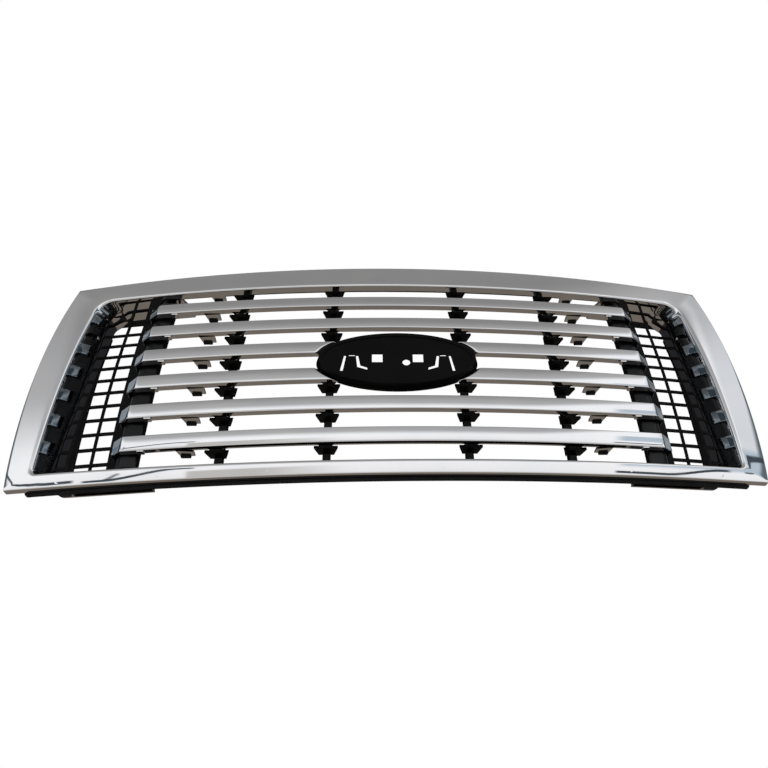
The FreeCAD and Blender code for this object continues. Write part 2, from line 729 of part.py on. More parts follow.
def drill(name, solid, holes):
    return combine("Part::Cut", name, solid, combine("Part::MultiFuse", f"{name}_tools", *holes))


def make_reinforcement(kind, outline, shelf_z, shelf_half, screws, screw_z, mount_xs, hole):
    through = [hole_tool(f"{kind}_web_hole_{number}", (x, face_y(x, screw_z, 16), screw_z),
                         (0, 1, 0), "<screw_shank>", 16) for number, x in enumerate(screws)]
    web = curved_plate(f"{kind}_web", outline, "<web_front>", "<web_front> + <plate>", through)
    room = block(f"{kind}_shelf_room", (-shelf_half, 0, shelf_z), (shelf_half, 120, shelf_z + 3))
    bind(room, Height="<plate>")
    shelf = combine("Part::MultiCommon", f"{kind}_shelf", room,
                    layer(f"{kind}_shelf_layer", "<web_front>", "<shelf_back>"))
    drills = []
    for number, x in enumerate(mount_xs):
        centre = (x, mount_y(x, shelf_z), shelf_z)
        drills.append(hole_tool(f"{kind}_mount_{number}", centre, (0, 0, 1), f"<{hole}>", 16))
    for number, x in enumerate(rib_places()):
        centre = (x, rib_screw_y(x, shelf_z), shelf_z)
        drills.append(hole_tool(f"{kind}_rib_hole_{number}", centre, (0, 0, 1),
                                "<screw_shank>", 16))
    drilled = drill(f"{kind}_shelf_drilled", shelf, drills)
    return combine("Part::MultiFuse", f"{kind}_reinforcement", web, drilled)


def mount_y(x, z):
    return face_y(x, z, 30)


def rib_places():
    return [sign * size(station) for station in ("inner_rib", "outer_rib") for _, sign in SIDES]


UPPER_MOUNTS = (-330, -150, 150, 330)
LOWER_MOUNTS = (-300, 0, 300)
SIDE_MOUNT_X = 530
SIDE_MOUNT_HEIGHTS = (-85, 85)


def make_upper_reinforcement():
    half = size("upper_half")
    shelf = size("upper_shelf")
    low = 173
    outline = [(-half, low), (half, low), (half, shelf + 3), (-half, shelf + 3), (-half, low)]
    return make_reinforcement("upper", outline, shelf, half, UPPER_SCREWS, UPPER_SCREW_HEIGHT, UPPER_MOUNTS,
                              "upper_hole")


def make_lower_reinforcement():
    half = size("lower_half")
    shelf = size("lower_shelf")
    drop = 4.5
    low_end, low_mid = size("low_corner") - drop, size("low_crown") - drop
    outline = [(-half, low_end + 6), ((-half + 2, low_end + 1.8), (-half + 8, low_end)),
               ((0, low_mid), (half - 8, low_end)), ((half - 2, low_end + 1.8), (half, low_end + 6)),
               (half, shelf + 3), (-half, shelf + 3), (-half, low_end + 6)]
    return make_reinforcement("lower", outline, shelf, 350, LOWER_SCREWS, LOWER_SCREW_HEIGHT, LOWER_MOUNTS,
                              "lower_hole")


def make_side_bracket(side, sign):
    holes = []
    for number, z in enumerate(MESH_SCREW_HEIGHTS):
        x = sign * mesh_screw_x(z)
        holes.append(hole_tool(f"bracket_{side}_hole_{number}", (x, face_y(x, z, 66), z),
                               (0, 1, 0), "<screw_shank>", 24))
    for number, z in enumerate(SIDE_MOUNT_HEIGHTS):
        x = sign * SIDE_MOUNT_X
        holes.append(hole_tool(f"bracket_{side}_mount_{number}", (x, face_y(x, z, 66), z),
                               (0, 1, 0), "<side_hole>", 24))
    inner, outer, high, bend = 487, 543, 125, 10
    outline = [(sign * inner, -high), (sign * (outer - bend), -high), (sign * outer, bend - high),
               (sign * outer, high - bend), (sign * (outer - bend), high), (sign * inner, high),
               (sign * inner, -high)]
    bracket = curved_plate(f"bracket_{side}", outline, "<mesh_back> + 0.2",
                           "<mesh_back> + 0.2 + <plate>", holes)
    return bracket


# ---------------------------------------------------------------- clips and screws


def clip_solid(name, x, low):
    """A small black clip pushed over the rear end of an outer tab."""
    front, back = face_y(x, low, size("tab_depth") - 4), face_y(x, low, size("tab_depth") + 2.5)
    body = block(f"{name}_body", (x - 7, front, low - 2.2), (x + 7, back, low + 4.7))
    slot = block(f"{name}_slot", (x - 20, front - 5, low - 0.1), (x + 20, back - 2.3, low + 2.6))
    return combine("Part::Cut", name, body, slot)


def make_tab_clips():
    heights = [rail_lip(size("tab_station"))] + BAR_LOWS
    clips = []
    for side, sign in SIDES:
        for number, low in enumerate(heights):
            clips.append(clip_solid(f"tab_clip_{side}_{number}", sign * size("tab_station"), low))
    return combine("Part::MultiFuse", "tab_clips", *clips)


def screw_solid(name, seat, axis, length):
    """A pan head screw: its head sits on the seat and its shank runs along the axis."""
    towards = Rotation(Vector(0, 0, 1), Vector(*axis))
    away = Rotation(Vector(0, 0, 1), -Vector(*axis))
    shank = doc.addObject("Part::Cylinder", f"{name}_shank")
    bind(shank, Radius="<screw_shank> / 2", Height=length)
    shank.Placement = Placement(Vector(*seat), towards)
    head = doc.addObject("Part::Cone", f"{name}_head")
    bind(head, Radius1="<screw_head> / 2", Radius2="<screw_head> / 2 - 1.2", Height="<head_height>")
    head.Placement = Placement(Vector(*seat), away)
    return combine("Part::MultiFuse", name, shank, head)


def make_screws(label, seats, axis, length="<screw_length>"):
    screws = [screw_solid(f"{label}_{number}", seat, axis, length)
              for number, seat in enumerate(seats)]
    return combine("Part::MultiFuse", label, *screws)


def make_all_screws():
    """Every group of screws; a seat stands just clear of the curved sheet under it."""
    web_back = size("web_front") + size("plate") + 0.9
    stack_back = size("mesh_back") + 0.2 + size("plate")
    post_screw = size("post_screw")
    high, low = UPPER_SCREW_HEIGHT, LOWER_SCREW_HEIGHT
    groups = [("upper_web_screws", [(x, face_y(x, high, web_back), high) for x in UPPER_SCREWS]),
              ("lower_web_screws", [(x, face_y(x, low, web_back), low) for x in LOWER_SCREWS])]
    mesh_seats = []
    post_seats = []
    for _, sign in SIDES:
        for z in MESH_SCREW_HEIGHTS:
            x = sign * mesh_screw_x(z)
            mesh_seats.append((x, face_y(x, z, stack_back + 1.4), z))
        for z in POST_SCREW_HEIGHTS:
            post_seats.append((sign * post_screw, face_y(post_screw, z, size("mesh_back") + 1.2), z))
    groups += [("mesh_screws", mesh_seats), ("post_screws", post_seats)]
    solids = [make_screws(label, seats, (0, -1, 0)) for label, seats in groups]
    back = size("rib_back")
    pad_seats = [(x, face_y(x, 9, back) + 0.1, z) for x in rib_places()[:2] for z in PAD_SCREW_HEIGHTS]
    solids.append(make_screws("pad_screws", pad_seats, (0, -1, 0), "<pad_screw_length>"))
    top = size("upper_shelf") + size("plate")
    high = [(x, rib_screw_y(x, size("upper_shelf")), top) for x in rib_places()]
    solids.append(make_screws("upper_rib_screws", high, (0, 0, -1)))
    shelf = size("lower_shelf")
    low = [(x, rib_screw_y(x, shelf), shelf) for x in rib_places()]
    solids.append(make_screws("lower_rib_screws", low, (0, 0, 1)))
    return solids


# ---------------------------------------------------------------- build and write

nodes = [make_surround()]
nodes += make_bars()
for side, sign in SIDES:
    nodes.append(make_post(side, sign))
    outer_stations = [rail_lip(size("outer_rib"))] + BAR_LOWS
    inner_stations = [rail_lip(size("inner_rib"))] + BAR_LOWS[:2] + BAR_LOWS[3:]
    nodes.append(make_rib(side, sign, "outer_rib", outer_stations))
    nodes.append(make_rib(side, sign, "inner_rib", inner_stations))
    nodes.append(make_mesh(side, sign))
    bracket = make_side_bracket(side, sign)
    bracket.Label = f"side_bracket_{side}"
    nodes.append(bracket)
nodes.append(make_pad())
nodes.append(make_upper_reinforcement())
nodes.append(make_lower_reinforcement())
nodes.append(make_tab_clips())
nodes += make_all_screws()

doc.recompute()
for obj in doc.Objects:
    if "Invalid" in obj.State or "Error" in obj.State:
        raise RuntimeError(f"{obj.Label} failed: {obj.State}")
for node in nodes:
    if node.Shape.isNull() or not node.Shape.isValid():
        raise RuntimeError(f"{node.Label} has no valid shape")

os.makedirs("parts", exist_ok=True)
for node in nodes:
    node.Shape.exportStep(f"parts/{node.Label}.step")
    box = node.Shape.BoundBox
    print(f"{node.Label:24s} solids {len(node.Shape.Solids):2d}  volume {node.Shape.Volume:10.0f}  "
          f"x {box.XMin:7.1f} {box.XMax:7.1f}  y {box.YMin:6.1f} {box.YMax:6.1f}  "
          f"z {box.ZMin:7.1f} {box.ZMax:7.1f}")
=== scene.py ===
import json
import math

import bmesh
import bpy
from mathutils import Matrix, Vector


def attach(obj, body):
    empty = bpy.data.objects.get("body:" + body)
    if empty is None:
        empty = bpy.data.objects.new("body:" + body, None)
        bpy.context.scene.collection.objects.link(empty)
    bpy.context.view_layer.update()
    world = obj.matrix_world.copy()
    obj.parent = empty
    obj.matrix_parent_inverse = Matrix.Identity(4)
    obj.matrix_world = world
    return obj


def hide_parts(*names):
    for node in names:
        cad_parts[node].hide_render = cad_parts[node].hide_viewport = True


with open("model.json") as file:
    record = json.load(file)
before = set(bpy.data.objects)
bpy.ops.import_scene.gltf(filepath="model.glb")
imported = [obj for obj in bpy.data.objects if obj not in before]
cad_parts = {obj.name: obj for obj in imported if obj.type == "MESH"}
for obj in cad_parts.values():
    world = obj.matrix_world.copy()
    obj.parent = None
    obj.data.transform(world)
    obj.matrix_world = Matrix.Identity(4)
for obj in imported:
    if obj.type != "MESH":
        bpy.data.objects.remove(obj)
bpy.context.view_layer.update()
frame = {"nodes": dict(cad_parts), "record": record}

# Front grille. Lengths are millimetres until make_piece() turns them into metres.
# X runs across the vehicle, Y rearwards and Z up, from the middle of the grille's face.

# the face: an arc seen from above, and one seen from the side
PLAN_RADIUS = 3130
SIDE_RADIUS = 1070

# the surround's outer outline, as x and z
TOP_CORNER = (548, 198)
SIDE_MIDDLE = (556.5, 9.65)
LOW_CORNER = (545, -178.7)
TOP_CROWN = 214.6
LOW_CROWN = -181.2

# the bars, from the top one down
BAR_PITCH = 50
BAR_HEIGHT = 21.4
BAR_WALL = 2.5
BAR_HALF = 390.6
BAR_LOWS = [BAR_PITCH * (2.5 - i) - BAR_HEIGHT / 2 for i in range(6)]

# the stations of their tabs
INNER_RIB = 103.3
OUTER_RIB = 256.9
TAB_STATION = 302

SIDES = (("left", -1), ("right", 1))
QUARTER_TURN = math.radians(90)
SHARP = math.radians(38)


def face_y(x, z, depth=0.0):
    """Y of the surface that lies depth behind the grille's face."""
    swing = PLAN_RADIUS - SIDE_RADIUS + math.sqrt((SIDE_RADIUS - depth) ** 2 - z * z)
    return PLAN_RADIUS - math.sqrt(swing * swing - x * x)


def mix(a, b, t):
    return a + (b - a) * t


# ---------------------------------------------------------------- meshes


def loft(bm, rows, closed=False):
    """Skin a list of rows of points. Each row is a closed loop; closed also joins last to first."""
    rings = [[bm.verts.new(point) for point in row] for row in rows]
    pairs = list(zip(rings, rings[1:]))
    if closed:
        pairs.append((rings[-1], rings[0]))
    for a, b in pairs:
        for i in range(len(a)):
            j = (i + 1) % len(a)
            bm.faces.new((a[i], a[j], b[j], b[i]))
    if not closed:
        bm.faces.new(rings[0])
        bm.faces.new(reversed(rings[-1]))


def prism(bm, outline, shift, soft=0.35):
    """A solid with softened edges, run from an outline along shift."""
    base = [bm.verts.new(point) for point in outline]
    top = [bm.verts.new(Vector(point) + Vector(shift)) for point in outline]
    faces = [bm.faces.new(base), bm.faces.new(reversed(top))]
    for i in range(len(base)):
        j = (i + 1) % len(base)
        faces.append(bm.faces.new((base[i], top[i], top[j], base[j])))
    edges = list({edge for face in faces for edge in face.edges})
    bmesh.ops.bevel(bm, geom=edges, offset=soft, segments=2, profile=0.5, affect="EDGES")


def make_piece(name, build, material, slot, *nodes):
    bm = bmesh.new()
    build(bm)
    bmesh.ops.remove_doubles(bm, verts=bm.verts, dist=0.01)
    bmesh.ops.dissolve_degenerate(bm, edges=bm.edges, dist=0.005)
    bmesh.ops.recalc_face_normals(bm, faces=bm.faces)
    bmesh.ops.scale(bm, vec=(0.001, 0.001, 0.001), verts=bm.verts)
    for face in bm.faces:
        face.smooth = True
    for edge in bm.edges:
        edge.smooth = edge.is_manifold and edge.calc_face_angle() < SHARP
    mesh = bpy.data.meshes.new(name)
    bm.to_mesh(mesh)
    bm.free()
    mesh.materials.append(material)
    piece = bpy.data.objects.new(name, mesh)
    bpy.context.scene.collection.objects.link(piece)
    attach(piece, "root")
    if nodes:
        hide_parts(*nodes)


# ---------------------------------------------------------------- materials


class Graph:
    """Adds nodes to a tree and joins them up."""

    def __init__(self, tree):
        self.tree = tree
        tree.nodes.clear()

    def add(self, kind, inputs=None, **settings):
        node = self.tree.nodes.new("ShaderNode" + kind)
        for name, value in settings.items():
            setattr(node, name, value)
        for name, value in (inputs or {}).items():
            if isinstance(value, bpy.types.NodeSocket):
                self.tree.links.new(value, node.inputs[name])
            else:
                node.inputs[name].default_value = value
        return node

    def noise(self, coordinate, scale, detail):
        return self.add("TexNoise", {"Vector": coordinate, "Scale": scale, "Detail": detail}).outputs[0]

    def range(self, value, source, target):
        """Smooth step of a value from one range to another."""
        inputs = {"Value": value, "From Min": source[0], "From Max": source[1],
                  "To Min": target[0], "To Max": target[1]}
        return self.add("MapRange", inputs, interpolation_type="SMOOTHSTEP").outputs[0]

    def blend(self, factor, a, b):
        """Mix of two colours, each of them a socket or its red, green and blue."""
        a, b = ((*colour, 1) if isinstance(colour, tuple) else colour for colour in (a, b))
        return self.add("Mix", {0: factor, 6: a, 7: b}, data_type="RGBA").outputs[2]

    def difference(self, a, b):
        return self.add("Math", {0: a, 1: b}, operation="SUBTRACT").outputs[0]

    def product(self, a, b):
        return self.add("Math", {0: a, 1: b}, operation="MULTIPLY").outputs[0]

    def size(self, value):
        return self.add("Math", {0: value}, operation="ABSOLUTE").outputs[0]


UP = (0, 1)
DOWN = (1, 0)
TONE_SPREAD = (0.35, 0.65)
GLOSS_SPREAD = (0.3, 0.7)
# where a painted shade at each bar's end fades in, in metres from the middle
PAINTED_SHADE_SPAN = (BAR_HALF / 1000 - 0.0003, BAR_HALF / 1000 + 0.0015)


def surface(name, dark, light, rough, tone_scale, grain_scale, grain, painted_shade=None, **sockets):
    """A finish whose tone and gloss drift, over a fine grain. Beyond the bars' faces it can turn to a
    painted shade, which stands in for the dark the chrome would mirror there.
    """
    material = bpy.data.materials.new(name)
    material.use_nodes = True
    graph = Graph(material.node_tree)
    where = graph.add("TexCoord").outputs["Object"]
    tone = graph.range(graph.noise(where, tone_scale, 4.0), TONE_SPREAD, UP)
    gloss = graph.range(graph.noise(where, tone_scale * 3, 3.0), GLOSS_SPREAD, rough)
    fine = graph.noise(where, grain_scale, 2.0)
    bump = graph.add("Bump", {"Height": fine, "Strength": 1.0, "Distance": grain})
    colour = graph.blend(tone, dark, light)
    if painted_shade:
        # beyond the bars' faces the plating's colour turns to a painted shade, a dark reflection painted
        # into the colour
        x = graph.add("SeparateXYZ", {0: where}).outputs[0]
        colour = graph.blend(graph.range(graph.size(x), PAINTED_SHADE_SPAN, UP), colour, painted_shade)
    inputs = {"Base Color": colour, "Roughness": gloss, "Normal": bump.outputs[0]}
    inputs.update(sockets)
    shader = graph.add("BsdfPrincipled", inputs)
    graph.add("OutputMaterial", {"Surface": shader.outputs[0]})
    return material


def plastic(name, dark, light, rough, tone_scale, grain_scale, grain, shine):
    """A matt surface with little shine of its own."""
    return surface(name, dark, light, rough, tone_scale, grain_scale, grain, **{"Specular IOR Level": shine})


PLATING = ((0.76, 0.765, 0.775), (0.80, 0.80, 0.805), (0.02, 0.045), 11, 45, 0.000012)
# painted shade for each bar's end facet and return: a dark blue-grey that stands in for the dark they would
# mirror
PAINTED_END_SHADE = (0.24, 0.275, 0.30)

CHROME = surface("chrome", *PLATING, Metallic=1.0)
# the bars' chrome, with a painted shade at each bar's end
BAR_CHROME_SHADED_ENDS = surface("bar_chrome_painted_end_shade", *PLATING, PAINTED_END_SHADE, Metallic=1.0)
SATIN = plastic("satin_black", (0.005, 0.0055, 0.0065), (0.008, 0.0085, 0.010), (0.26, 0.36),
                14, 900, 0.00002, 0.30)
MESH = plastic("mesh_black", (0.002, 0.002, 0.0022), (0.004, 0.004, 0.0043), (0.42, 0.55),
               20, 1400, 0.00003, 0.12)
PAD = plastic("pad_black", (0.0018, 0.0018, 0.002), (0.0032, 0.0032, 0.0034), (0.38, 0.50),
              22, 1600, 0.00003, 0.12)
MOULDED = plastic("moulded_black", (0.0025, 0.0025, 0.0028), (0.0045, 0.0045, 0.0048), (0.40, 0.52),
                  16, 1100, 0.00003, 0.16)
STEEL = surface("bracket_steel", (0.012, 0.012, 0.013), (0.020, 0.020, 0.021), (0.45, 0.60),
                30, 700, 0.00004, Metallic=0.3)
ZINC = surface("zinc_screws", (0.42, 0.41, 0.37), (0.60, 0.59, 0.54), (0.22, 0.38),
               90, 1500, 0.00002, Metallic=1.0)

# ---------------------------------------------------------------- surround

# the moulding: its wall, the rim round its outside, the lip in the window and the deep side pockets
SKIN = 3
RIM_FRONT = 5
RIM_DEPTH = 11
LIP_DEPTH = 14
POCKET_DEPTH = 60
POCKET_START = 364
FLANGE_WIDTH = 12
EDGE_RADIUS = 1.1
FILLET = 4.5

# the face's crown for a face of CROWN_WIDTH, and the slope of the bottom rail's face about a line across it
FACE_CROWN = 0.8
CROWN_WIDTH = 50
RAIL_LEAN = 0.13
LEAN_LINE = 0.75

# the depths of the window wall's rows of points
DEEP_ROWS = (9, 14, 20, 26, 32, 38, 44, 52, 60)
SHALLOW_ROWS = (5.5, 6.5, 7.5, 8.5, 9.5, 10.5, 11.5, 12.5, 14)

# each plane's y, and the window's half widths there: below the shoulder, in the middle, above the foot
WINDOW_PLANES = ((45, (507, 509, 517)), (77, (488.5, 490, 498)), (108, (485, 486, 488)))
FRONT_PLANE = WINDOW_PLANES[0][0]
WINDOW_TOP = 166.3
WINDOW_SHOULDER = 161.5
WINDOW_FOOT = -159.2
WINDOW_DRAFT = math.radians(3)
LID_RISE = 3.1
SILL_DROP = 0.8
WIDEST_HEIGHT = 5
SHOULDER_RADIUS = 28
FOOT_RADIUS = 8

# how finely the outlines and the sections are divided
LIP_STEPS = 44
LID_STEPS = 14
CORNER_STEPS = 12
SIDE_STEPS = 52
ROUND_STEPS = 4
FACE_STEPS = 12
FILLET_STEPS = 6
# the first point past the pocket's start, as a share of the lid's width
POCKET_STEP = 0.0008


def circle_through(a, b, c):
    """Centre and radius of the circle through three points."""
    ax, az, bx, bz, cx, cz = *a, *b, *c
    d = 2 * (ax * (bz - cz) + bx * (cz - az) + cx * (az - bz))
    aa, bb, cc = ax * ax + az * az, bx * bx + bz * bz, cx * cx + cz * cz
    x = (aa * (bz - cz) + bb * (cz - az) + cc * (az - bz)) / d
    z = (aa * (cx - bx) + bb * (ax - cx) + cc * (bx - ax)) / d
    return x, z, math.hypot(ax - x, az - z)


def height_on(circle, x, up):
    return circle[1] + up * math.sqrt(circle[2] ** 2 - (x - circle[0]) ** 2)


def width_on(circle, z, out):
    return circle[0] + out * math.sqrt(circle[2] ** 2 - (z - circle[1]) ** 2)


OUTER_TOP = circle_through((-TOP_CORNER[0], TOP_CORNER[1]), (0, TOP_CROWN), TOP_CORNER)
OUTER_LOW = circle_through((-LOW_CORNER[0], LOW_CORNER[1]), (0, LOW_CROWN), LOW_CORNER)
OUTER_SIDE = circle_through(TOP_CORNER, SIDE_MIDDLE, LOW_CORNER)


def window_widths(y):
    """Half widths of the window in the plane y: its sides slope in, less so behind the crease."""
    front, crease, rear = WINDOW_PLANES
    (near, at_near), (far, at_far) = (front, crease) if y <= crease[0] else (crease, rear)
    share = (y - near) / (far - near)
    return [mix(a, b, share) for a, b in zip(at_near, at_far)]


def window_half(y, steps):
    """Right half of the window's outline in the plane y, from top to bottom."""
    draft = (y - FRONT_PLANE) * math.tan(WINDOW_DRAFT)
    top_end, low_end = WINDOW_SHOULDER - draft, WINDOW_FOOT + draft
    shoulder, foot = SHOULDER_RADIUS, FOOT_RADIUS
    high, wide, base = window_widths(y)
    lid = circle_through((shoulder - high, top_end), (0, top_end + LID_RISE), (high - shoulder, top_end))
    sill = circle_through((foot - base, low_end), (0, low_end - SILL_DROP), (base - foot, low_end))
    side = circle_through((high, top_end - shoulder), (wide, WIDEST_HEIGHT), (base, low_end + foot))
    points = []
    for u in steps:
        x = u * (high - shoulder)
        points.append((x, height_on(lid, x, 1)))
    for k in range(1, CORNER_STEPS):
        turn = QUARTER_TURN * k / CORNER_STEPS
        points.append((high - shoulder * (1 - math.sin(turn)), top_end - shoulder * (1 - math.cos(turn))))
    for k in range(SIDE_STEPS + 1):
        z = mix(top_end - shoulder, low_end + foot, k / SIDE_STEPS)
        points.append((width_on(side, z, -1), z))
    for k in range(1, CORNER_STEPS):
        turn = QUARTER_TURN * k / CORNER_STEPS
        points.append((base - foot * (1 - math.cos(turn)), low_end + foot * (1 - math.sin(turn))))
    for u in reversed(steps):
        x = u * (base - foot)
        points.append((x, height_on(sill, x, -1)))
    return points


def outer_half(steps):
    """The outer outline's points that go with those of the window; its corners stay sharp."""
    inner = window_half(FRONT_PLANE, steps)
    half = CORNER_STEPS // 2
    first = len(steps) + CORNER_STEPS - 1
    last = first + SIDE_STEPS
    top_x = inner[len(steps) - 1][0]
    low_x = inner[-len(steps)][0]
    along_top = [x for x, _ in inner[:len(steps)]]
    along_top += [mix(top_x, TOP_CORNER[0], k / half) for k in range(1, half + 1)]
    along_side = [mix(TOP_CORNER[1], inner[first][1], k / half) for k in range(1, half)]
    along_side += [z for _, z in inner[first:last + 1]]
    along_side += [mix(inner[last][1], LOW_CORNER[1], k / half) for k in range(1, half + 1)]
    along_low = [mix(LOW_CORNER[0], low_x, k / half) for k in range(1, half)]
    along_low += [x for x, _ in inner[-len(steps):]]
    return ([(x, height_on(OUTER_TOP, x, 1)) for x in along_top]
            + [(width_on(OUTER_SIDE, z, 1), z) for z in along_side]
            + [(x, height_on(OUTER_LOW, x, -1)) for x in along_low])


def both_sides(points):
    """The whole loop, from its right half: the middle points aren't repeated."""
    return points + [(-x, z) for x, z in reversed(points[1:-1])]


def surround_stations():
    """The outer outline's points, each with those of the window's planes that go with it."""
    pocket = POCKET_START / (WINDOW_PLANES[0][1][0] - SHOULDER_RADIUS)
    steps = [pocket * k / LIP_STEPS for k in range(LIP_STEPS + 1)] + [pocket + POCKET_STEP]
    steps += [mix(pocket, 1, k / LID_STEPS) for k in range(1, LID_STEPS + 1)]
    planes = [both_sides(window_half(y, steps)) for y, _ in WINDOW_PLANES]
    return list(zip(both_sides(outer_half(steps)), *planes))


def window_point(planes, depth):
    """Where the window's wall lies depth behind the face, between the planes' outlines."""
    y = FRONT_PLANE
    for _ in range(6):
        first = 0 if y <= WINDOW_PLANES[1][0] else 1
        near, far = WINDOW_PLANES[first][0], WINDOW_PLANES[first + 1][0]
        share = (y - near) / (far - near)
        x = mix(planes[first][0], planes[first + 1][0], share)
        z = mix(planes[first][1], planes[first + 1][1], share)
        y = face_y(x, z, depth)
    return Vector((x, y, z))


def surround_section(outer, *planes):
    """One closed section of the surround, from the rim's rear edge over the face and back."""
    deep = abs(planes[0][0]) > POCKET_START + 0.05
    bottom = POCKET_DEPTH if deep else LIP_DEPTH
    flange = FLANGE_WIDTH if deep else SKIN
    edge = window_point(planes, 0)
    inward = Vector((edge.x - outer[0], 0, edge.z - outer[1]))
    width = inward.length
    inward.normalize()
    lean = RAIL_LEAN * max(0, inward.z) ** 2
    crown = FACE_CROWN * (width / CROWN_WIDTH) ** 2

    def wall(depth, out=0.0):
        point = window_point(planes, depth)
        x, z = point.x - inward.x * out, point.z - inward.z * out
        return Vector((x, face_y(x, z, depth), z))

    def behind(distance, depth):
        x, z = outer[0] + inward.x * distance, outer[1] + inward.z * distance
        return Vector((x, face_y(x, z, depth + lean * (LEAN_LINE * width - distance)), z))

    row = [behind(0, RIM_DEPTH), behind(0, RIM_FRONT)]
    for k in range(ROUND_STEPS + 1):
        turn = QUARTER_TURN * k / ROUND_STEPS
        row.append(behind(EDGE_RADIUS * (1 - math.cos(turn)), EDGE_RADIUS * (1 - math.sin(turn))))
    for k in range(1, FACE_STEPS + 1):
        t = k / FACE_STEPS
        row.append(behind(mix(EDGE_RADIUS, width - FILLET, t), -crown * (1 - (2 * t - 1) ** 2)))
    start, end = row[-1], wall(FILLET)
    for k in range(1, FILLET_STEPS + 1):
        t = k / FILLET_STEPS
        row.append(start * (1 - t) ** 2 + edge * 2 * t * (1 - t) + end * t * t)
    row += [wall(depth) for depth in (DEEP_ROWS if deep else SHALLOW_ROWS)]
    row += [wall(bottom, flange), wall(bottom - SKIN, flange), wall(bottom - SKIN, SKIN)]
    row += [wall(POCKET_DEPTH / 2 if deep else SKIN + 4, SKIN), wall(SKIN + 3, SKIN)]
    row += [behind(width - SKIN - 4, SKIN), behind(SKIN + 1, SKIN), behind(SKIN, SKIN + 1),
            behind(SKIN, RIM_DEPTH)]
    return row


# a tab's half widths, where its far end lies, and where the rail's and the bars' tabs start
TAB_ROOT = 13
TAB_TIP = 8
LONG_TAB_DEPTH = 26
RIB_TAB_DEPTH = 14.4
RIB_TAB_OUT = 17
TAB_GAP = 0.2
RAIL_TAB_DEPTH = 8
BAR_TAB_DEPTH = 7
# how far out the top rail's lip comes down to the window's shoulder
LIP_REACH = 450


def rail_lip(x):
    return WINDOW_TOP - (WINDOW_TOP - WINDOW_SHOULDER) * (x / LIP_REACH) ** 2


def tongue(bm, x, low, root_depth, sign):
    """A tab behind a lower wall: short at a rib, long and slanted outboard at an outer station."""
    near = face_y(x, low, root_depth)
    if sign:
        far = face_y(x, low, LONG_TAB_DEPTH)
    else:
        far = face_y(abs(x) + RIB_TAB_OUT, low, RIB_TAB_DEPTH) - TAB_GAP
    left = TAB_TIP if sign <= 0 else TAB_ROOT
    right = TAB_TIP if sign >= 0 else TAB_ROOT
    outline = [(x - TAB_ROOT, near, low), (x + TAB_ROOT, near, low),
               (x + right, far, low), (x - left, far, low)]
    prism(bm, outline, (0, 0, BAR_WALL))


# round bosses behind the rails: their height, and how far they stand from the middle
BOSS_ROWS = ((186, (60, 180, 390)), (-171.5, (60, 180, 330, 470)))
BOSS_RADIUS = 4.2
BOSS_SIDES = 20
BOSS_FRONT = 1.5
BOSS_REAR = 13.5
BOSS_SOFT = 0.3


def boss(bm, x, z):
    near = face_y(x, z, BOSS_FRONT)
    turns = [math.tau * k / BOSS_SIDES for k in range(BOSS_SIDES)]
    ring = [(x + BOSS_RADIUS * math.cos(turn), near, z + BOSS_RADIUS * math.sin(turn)) for turn in turns]
    prism(bm, ring, (0, face_y(x, z, BOSS_REAR) - near, 0), BOSS_SOFT)


def build_surround(bm):
    loft(bm, [surround_section(*station) for station in surround_stations()], closed=True)
    for _, sign in SIDES:
        for x, slant in ((sign * INNER_RIB, 0), (sign * OUTER_RIB, 0), (sign * TAB_STATION, sign)):
            tongue(bm, x, rail_lip(x), RAIL_TAB_DEPTH, slant)
    for height, places in BOSS_ROWS:
        for x in places:
            for _, sign in SIDES:
                boss(bm, sign * x, height)


make_piece("surround_shell", build_surround, CHROME, "chrome_plating", "chrome_surround")

# ---------------------------------------------------------------- bars

# a bar's section: the depths of its walls' rear edges, the crown of its face and its rounded edges
BAR_ROOF = 15.7
BAR_FLOOR = 11
BAR_CROWN = 1.1
TOP_ROUND = 0.8
LOW_ROUND = 1.3
PROFILE_STEPS = 15
# where a wall closes up at the bar's ends: how thick it stays, and how its inner skin follows the face
LEAST_WALL = 0.4
INNER_SET = 1.2
# the lowest bars' faces lean back downwards: the slope grows with the fall of their lower edge
LEAN_START = -68
LEAN_RATE = 0.0011

# a bar's end: a facet that bends back to meet the post, and a return beside it
FACET_REACH = 15
FACET_BACK = 13.5
FACET_BEND = 0.45
FACET_SOFTNESS = 1.0
RETURN_START = 402.4
RETURN_DEPTH = 42
RETURN_SOFT = 0.9

# the split bars' ends, which bend back beside the pad's oval
OVAL_HALF = 125
OVAL_RISE = 53
PAD_GAPS = (16, 9, 7, 6.4, 5.9, 5.4, 4.5, 3, 1.5, 0.5, 0)
PAD_BEND_GAP = 6
PAD_BEND = 0.32
PAD_SOFTNESS = 0.4
SPLIT_START = 150

# the distances of the sections from a bar's end and from its bend, and where the even ones start
END_SECTIONS = (0, 2, 5, 8, 11)
BEND_SECTIONS = (2.5, 1.2, 0.5, 0, -0.5, -1.2, -2.5, -5)
EVEN_START = BAR_HALF - 8
WHOLE_SECTIONS = 90
SPLIT_SECTIONS = 32

# a small nub below each end of a bar
NUB_PLACE = 362
NUB_HALF = 5
NUB_DEPTH = 2
NUB_DROP = 2
NUB_HEIGHT = 2.5
NUB_SOFT = 1.1


